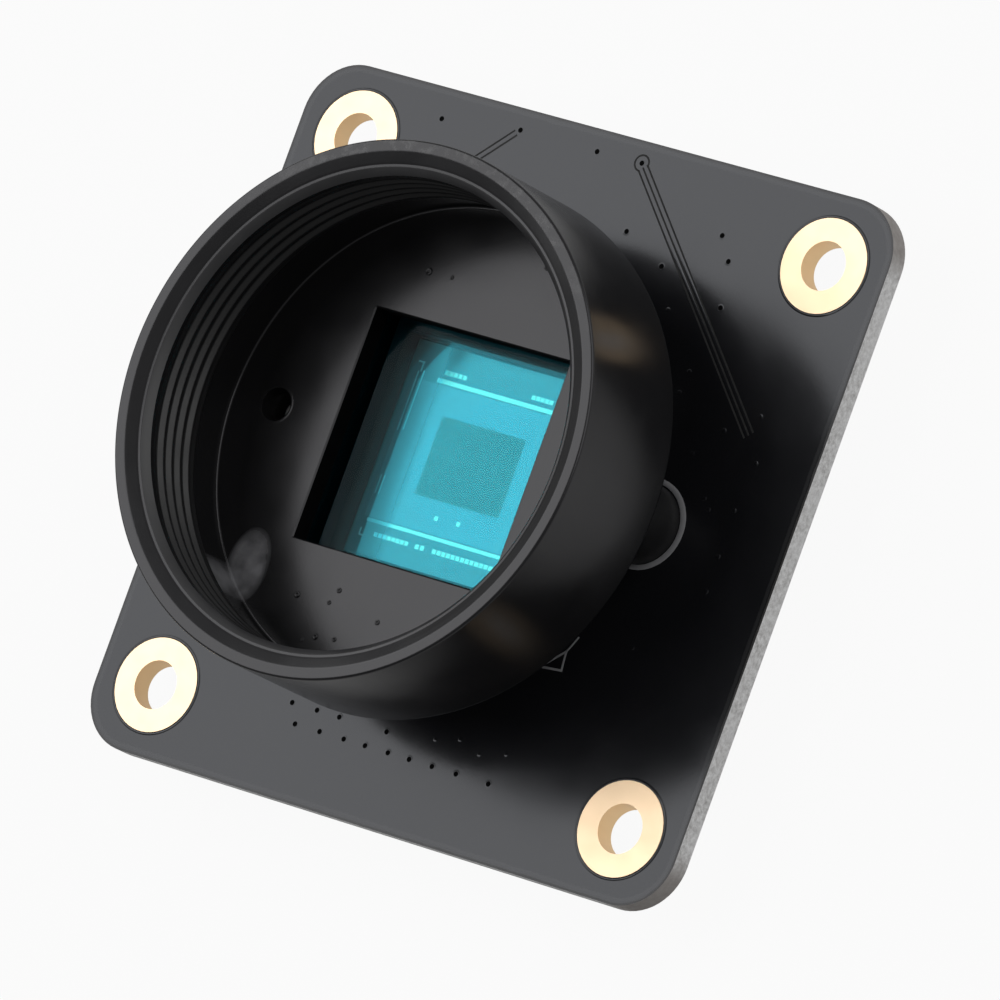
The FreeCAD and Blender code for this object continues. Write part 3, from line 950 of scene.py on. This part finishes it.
PACKAGE, LEADS, MARK = range(3)
CERAMIC, CAP, SOLDER = range(3)
LID = 1
CAP_FILLET = [(0.0, 0.0), (0.26, 0.0), (0.16, 0.03), (0.08, 0.1), (0.03, 0.22), (0.0, 0.3)]
FILLET_RISE = 1.4
LOW_PART = 0.5

# Length, width, height and cap of the small parts, and whether they lie along X
BULK_CAPACITOR = (2.0, 1.25, 1.25, 0.45, False)
BYPASS_CAPACITOR = (1.0, 0.5, 0.5, 0.25, True)
RESISTOR = (1.6, 0.8, 0.45, 0.3, False)

# Length, width and height of the leaded chips, reach of their leads and width of a lead
FLASH = (4.9, 3.9, 1.5, 3.0, 0.42)
REGULATOR = (2.9, 1.6, 1.1, 1.4, 0.4)


def below(height):
    """Height above the back of the board, as a place along Z."""
    return board_back - height


def middle_of(node_name):
    """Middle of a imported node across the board."""
    lowest, highest = low(node_name), high(node_name)
    return (lowest.x + highest.x) / 2, (lowest.y + highest.y) / 2


def along_group(node_name, axis, margin, count):
    """Places of like parts along one axis of a packed group, a margin inside its ends."""
    return evenly(low(node_name)[axis] + margin, high(node_name)[axis] - margin, count)


def capped_part(build, x, y, length, width, height, cap, along_x):
    """Ceramic body, two metal caps and the solder at their feet."""
    half = (length / 2 - 0.5 * cap, width / 2 - 0.025)
    build.finish = CERAMIC
    build.pillow(*(half if along_x else half[::-1]), below(height - 0.025), below(0.02), 0.04, x, y)
    half = (cap / 2, width / 2)
    rise = height / LOW_PART if height < LOW_PART else FILLET_RISE
    for side in (-1, 1):
        end = side * (length - cap) / 2
        tip = side * (length / 2 - 0.02)
        build.finish = CAP
        place = (x + end, y) if along_x else (x, y + end)
        build.pillow(*(half if along_x else half[::-1]), below(height), below(0.0), 0.05, *place)
        build.finish = SOLDER

        def at(out, up, across, side=side, tip=tip):
            reach = tip + side * out
            flat = (x + reach, y + across) if along_x else (x + across, y + reach)
            return (*flat, below(up * rise))

        build.extrusion(CAP_FILLET, width / 2 - 0.03, at)


def capped_parts(name, replaced, places, sizes, slot, body):
    """A group of like capacitors or resistors as one piece."""
    build = Builder()
    for x, y in places:
        capped_part(build, x, y, *sizes)
    piece = add_object(name, build.mesh(name), slot, body, tin_plating, solder)
    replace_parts(piece, replaced)


def gull_lead(build, x, y, side, body_edge, span_edge, shoulder, width):
    """One bent lead with rounded bends, from the body's side down to its foot."""
    thick = 0.16
    knee = span_edge - 0.45
    top = shoulder + thick
    outline = [
        (body_edge - 0.1, shoulder), (body_edge - 0.1, top), (knee - 0.05, top), (knee + 0.06, top - 0.04),
        (knee + 0.12, shoulder + 0.04), (knee + 0.17, thick + 0.04), (knee + 0.22, thick),
        (span_edge - 0.02, thick), (span_edge, thick - 0.02), (span_edge, 0.0), (knee + 0.06, 0.0),
        (knee, 0.06), (knee - 0.05, shoulder - 0.04), (knee - 0.1, shoulder),
    ]
    build.extrusion(outline, width / 2, lambda out, up, across: (x + across, y + side * out, below(up)))


def leaded_chip(name, replaced, length, width, height, span_edge, lead_width, places):
    """Moulded package with bent leads on two sides and a dot at its first lead."""
    x, y = middle_of(replaced)
    build = Builder()
    build.finish = PACKAGE
    build.pillow(length / 2, width / 2, below(height), below(0.1), 0.14, x, y)
    build.finish = LEADS
    for side, offset in places:
        gull_lead(build, x + offset, y, side, width / 2, span_edge, (0.1 + height) / 2, lead_width)
    build.finish = MARK
    mark = (x + length / 2 - 0.55, y - width / 2 + 0.5)
    dot = [(0.14, below(height - 0.01)), (0.13, below(height)), (0.1, below(height - 0.003))]
    build.turned(dot, 20, *mark)
    piece = add_object(name, build.mesh(name), "chip_black", chip_black, tin_plating, mark_grey)
    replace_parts(piece, replaced)


def processor_mesh():
    """Flat package with a row of flush leads along each side."""
    x, y = middle_of("image_processor")
    build = Builder()
    half = 4.5
    height = 0.85
    build.finish = PACKAGE
    build.pillow(half, half, below(height), below(0.0), 0.08, x, y)
    build.finish = LEADS
    for along in evenly(-3.25, 3.25, 14):
        for side in (-1, 1):
            out = side * (half - 0.16)
            build.pillow(0.12, 0.2, below(0.2), below(0.0), 0.03, x + along, y + out)
            build.pillow(0.2, 0.12, below(0.2), below(0.0), 0.03, x + out, y + along)
    build.finish = MARK
    mark = [(0.3, below(height - 0.005)), (0.28, below(height)), (0.24, below(height - 0.003))]
    build.turned(mark, 28, x + half - 1.0, y - half + 1.0)
    return build.mesh("processor_body")


def crystal_mesh():
    """Ceramic base with a welded metal lid."""
    x, y = middle_of("crystal_oscillator")
    build = Builder()
    build.pillow(1.6, 1.25, below(0.5), below(0.0), 0.05, x, y, 0.15)
    build.finish = LID
    build.pillow(1.4, 1.05, below(0.62), below(0.48), 0.04, x, y, 0.35, 4)
    build.pillow(1.3, 0.95, below(0.75), below(0.6), 0.06, x, y, 0.3, 4)
    return build.mesh("crystal_body")


def inductor_mesh():
    """Moulded coil body with a folded terminal on two sides."""
    x, y = middle_of("power_inductor")
    build = Builder()
    build.pillow(1.7, 1.7, below(1.4), below(0.0), 0.12, x, y, 0.7, 6)
    build.finish = LEADS
    for side in (-1, 1):
        build.pillow(0.12, 0.8, below(0.7), below(0.0), 0.04, x + side * 1.7, y)
    return build.mesh("inductor_body")


bulk_y = middle_of("bulk_capacitors")[1]
bulk_places = [(x, bulk_y) for x in along_group("bulk_capacitors", 0, 0.625, 3)]
bypass_xs = along_group("bypass_capacitors", 0, 0.5, 2)
bypass_places = [(x, y) for x in bypass_xs for y in along_group("bypass_capacitors", 1, 0.25, 5)]
row_y = middle_of("resistors")[1]
resistor_places = [(x, row_y) for x in along_group("resistors", 0, 0.4, 7)]
contact_xs = evenly(-5.25, 5.25, 8)
flash_leads = [(side, offset) for side in (-1, 1) for offset in evenly(-1.905, 1.905, 4)]
regulator_leads = [(1, -0.95), (1, 0.0), (1, 0.95), (-1, -0.95), (-1, 0.95)]

for kind, places, sizes, slot, body in (
    ("bulk_capacitor", bulk_places, BULK_CAPACITOR, "capacitor_tan", capacitor_tan),
    ("bypass_capacitor", bypass_places, BYPASS_CAPACITOR, "capacitor_tan", capacitor_tan),
    ("resistor", resistor_places, RESISTOR, "resistor_black", resistor_black),
):
    capped_parts(f"{kind}_parts", f"{kind}s", places, sizes, slot, body)
leaded_chip("flash_body", "flash_memory", *FLASH, flash_leads)
for number in (1, 2):
    leaded_chip(f"regulator_body_{number}", f"voltage_regulator_{number}", *REGULATOR, regulator_leads)
for mesh, replaced, slot, finishes in (
    (processor_mesh(), "image_processor", "chip_black", (chip_black, tin_plating, mark_grey)),
    (crystal_mesh(), "crystal_oscillator", "crystal_lid", (crystal_base, crystal_metal)),
    (inductor_mesh(), "power_inductor", "ferrite_grey", (ferrite_grey, tin_plating)),
):
    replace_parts(add_object(mesh.name, mesh, slot, *finishes), replaced)


# Places outward from the board's middle where the back traces bend and end
FAN_OUT = (4.6, 4.95, 5.3, 5.75)
TO_HOLE = (6.95, 7.45)
BACK_TRACE = [(offset * 0.6, -height) for offset, height in TRACE]
BACK_HOLE = [(0.3, below(0.0)), (0.26, below(0.014)), (0.19, below(0.016)), (0.15, below(0.002))]
BACK_HOLES = [
    *[(7.6 if x > 0 else -7.6, y) for x, y in bypass_places],
    *[(x, -11.55) for x in contact_xs],
    *[(x, high("resistors").y + 1.0) for x, _ in resistor_places],
]


def back_copper_mesh():
    """Traces and plated holes under the mask on the back."""
    build = Builder()
    chip_y = middle_of("image_processor")[1]
    paths = []
    for x, y in bypass_places:
        side = 1 if x > 0 else -1
        start = chip_y + (round((y - chip_y) / 0.5) * 0.5 + 0.25)
        paths.append([(side * out, along) for out, along in zip(FAN_OUT, (start, start, y, y))])
        paths.append([(side * out, y) for out in TO_HOLE])
    paths += [[(x, -12.5), (x, -11.75)] for x in contact_xs]
    row_low = low("resistors").y
    row_high = high("resistors").y
    for x, _ in resistor_places:
        paths.append([(x, row_low - 0.25), (x, row_low - 0.75)])
        paths.append([(x, row_high + 0.25), (x, row_high + 0.8)])
    for path in paths:
        build.ribbon(path, BACK_TRACE, board_back)
    for x, y in BACK_HOLES:
        build.rings(BACK_HOLE, 16, x, y)
    return build.mesh("back_copper", 60)


def back_tin_mesh():
    """Tinned lands under the feet of the header, its tabs and the bent leads."""
    build = Builder()
    places = [(x, -13.3, 0.32, 0.6) for x in contact_xs]
    tab_y = middle_of("cable_header_tabs")[1]
    places += [(x, tab_y, 0.6, 1.45) for x in along_group("cable_header_tabs", 0, 0.3, 2)]
    for replaced, leads, reach in (
        ("flash_memory", flash_leads, 2.85),
        ("voltage_regulator_1", regulator_leads, 1.25),
        ("voltage_regulator_2", regulator_leads, 1.25),
    ):
        x, y = middle_of(replaced)
        places += [(x + offset, y + side * reach, 0.3, 0.42) for side, offset in leads]
    for x, y, half_x, half_y in places:
        build.pillow(half_x, half_y, below(0.035), below(0.0), 0.03, x, y, 0.08)
    return build.mesh("back_tin")


add_object("back_copper", back_copper_mesh(), "board_black", mask_black)
add_object("back_tin", back_tin_mesh(), "tin_plating", solder)


# Floor, light and camera

PANEL = {"azimuth": 171.0, "elevation": 54.5, "distance": 0.5, "width": 0.5, "radiance": 2.2}
FILL = {"azimuth": 35.0, "elevation": 24.0, "distance": 0.5, "width": 0.5, "radiance": 1.15}
WORLD_LEVELS = (0.18, 0.4)
FLOOR_IN_CAMERA = 0.94
FLOOR_IN_MIRRORS = (0.42, 0.12)
FLOOR_GLOW_BENEATH = (0.45, 0.6)
FLOOR_HALF = 1.5
FLOOR_GAP = 0.00002
BENEATH_MARGIN = 0.75


def floor_look():
    """Pale matt floor. The camera and mirrors see it near white, and it keeps the shadow; beneath the board
    mirrors see painted light over the board's shadow.
    """
    look = Look("stage_floor")
    look.surface(
        Base_Color=look.mix(look.noise(3, 2), grey(0.4), grey(0.43)), Roughness=0.9, Specular_IOR_Level=0.0
    )
    path = look.node("LightPath").outputs
    across, along, _ = look.place()
    along_reach = look.math("ABSOLUTE", along)
    reach = look.math("MAXIMUM", look.math("ABSOLUTE", across), along_reach)
    beside = look.spread(along_reach, 0.002, 0.016, *FLOOR_IN_MIRRORS)
    # Painted light: in mirrors the floor glows beneath the board, where the board shades it, more so towards
    # +X.
    painted_glow_beneath = look.product(
        look.spread(across, -0.015, 0.015, *FLOOR_GLOW_BENEATH),
        look.math("LESS_THAN", reach, (board_half + BENEATH_MARGIN) * MM),
    )
    mirrored = look.product(
        look.math("MAXIMUM", path["Is Glossy Ray"], path["Is Transmission Ray"]),
        look.math("MAXIMUM", beside, painted_glow_beneath),
    )
    share = look.math("MAXIMUM", look.product(path["Is Camera Ray"], FLOOR_IN_CAMERA), mirrored)
    glow = look.node("Emission", Color=grey(1.0), Strength=1.0)
    look.give(look.nodes["Material Output"], Surface=look.blend(share, look.shader, glow))
    return look.data


def stage_floor():
    """The floor under the module."""
    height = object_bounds()[0][2] - FLOOR_GAP
    corners = [(x * FLOOR_HALF, y * FLOOR_HALF, height) for x, y in ((-1, -1), (1, -1), (1, 1), (-1, 1))]
    mesh = bpy.data.meshes.new("stage_floor")
    mesh.from_pydata(corners, [], [(0, 1, 2, 3)])
    mesh.materials.append(floor_look())
    put("stage_floor", mesh)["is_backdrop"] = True


def soft_panel(azimuth, elevation, distance, width, radiance):
    """A square soft panel that faces the module."""
    lamp = bpy.data.lights.new("soft_panel", "AREA")
    lamp.shape = "SQUARE"
    lamp.size = width
    lamp.energy = radiance * math.pi * width * width
    turn = math.radians(azimuth)
    tilt = math.radians(elevation)
    flat = math.cos(tilt)
    direction = Vector((flat * math.cos(turn), flat * math.sin(turn), math.sin(tilt)))
    panel = put("soft_panel", lamp)
    panel.location = direction * distance
    panel.rotation_euler = direction.to_track_quat("Z", "Y").to_euler()


def plain_world():
    """Soft surroundings, brighter towards +Y and seen white by the camera."""
    look = Look("plain_world", bpy.data.worlds)
    along = look.split(look.node("TexCoord").outputs["Generated"])[1]
    level = look.spread(along, -1.0, 1.0, *WORLD_LEVELS)
    seen = look.math("MAXIMUM", look.node("LightPath").outputs["Is Camera Ray"], level)
    look.give(look.nodes["Background"], Color=grey(1.0), Strength=seen)
    bpy.context.scene.world = look.data


# Camera as in the photograph: a long lens, looking down at the front and rolled about its own axis
CAMERA_PLACE = Vector((369.64, -58.23, 523.77))
CAMERA_AIM = Vector((1.259, -0.883, 0.0))
CAMERA_ROLL = 62.818
SENSOR_WIDTH = 36.0
FOCAL_LENGTH = 458.15


def photo_camera():
    """The photograph's camera."""
    lens = bpy.data.cameras.new("photo_camera")
    lens.sensor_width = SENSOR_WIDTH
    lens.lens = FOCAL_LENGTH
    lens.clip_start = 0.01
    camera = put("photo_camera", lens)
    look = (CAMERA_AIM - CAMERA_PLACE).normalized()
    upward = (Vector((0, 0, 1)) - look * look.z).normalized()
    roll = math.radians(CAMERA_ROLL)
    up = upward * math.cos(roll) + look.cross(upward) * math.sin(roll)
    turn = Matrix((look.cross(up), up, -look)).transposed()
    camera.matrix_world = Matrix.Translation(CAMERA_PLACE * MM) @ turn.to_4x4()
    bpy.context.scene.camera = camera


stage_floor()
soft_panel(**PANEL)
soft_panel(**FILL)
plain_world()
photo_camera()
bpy.context.scene.view_settings.view_transform = "Standard"
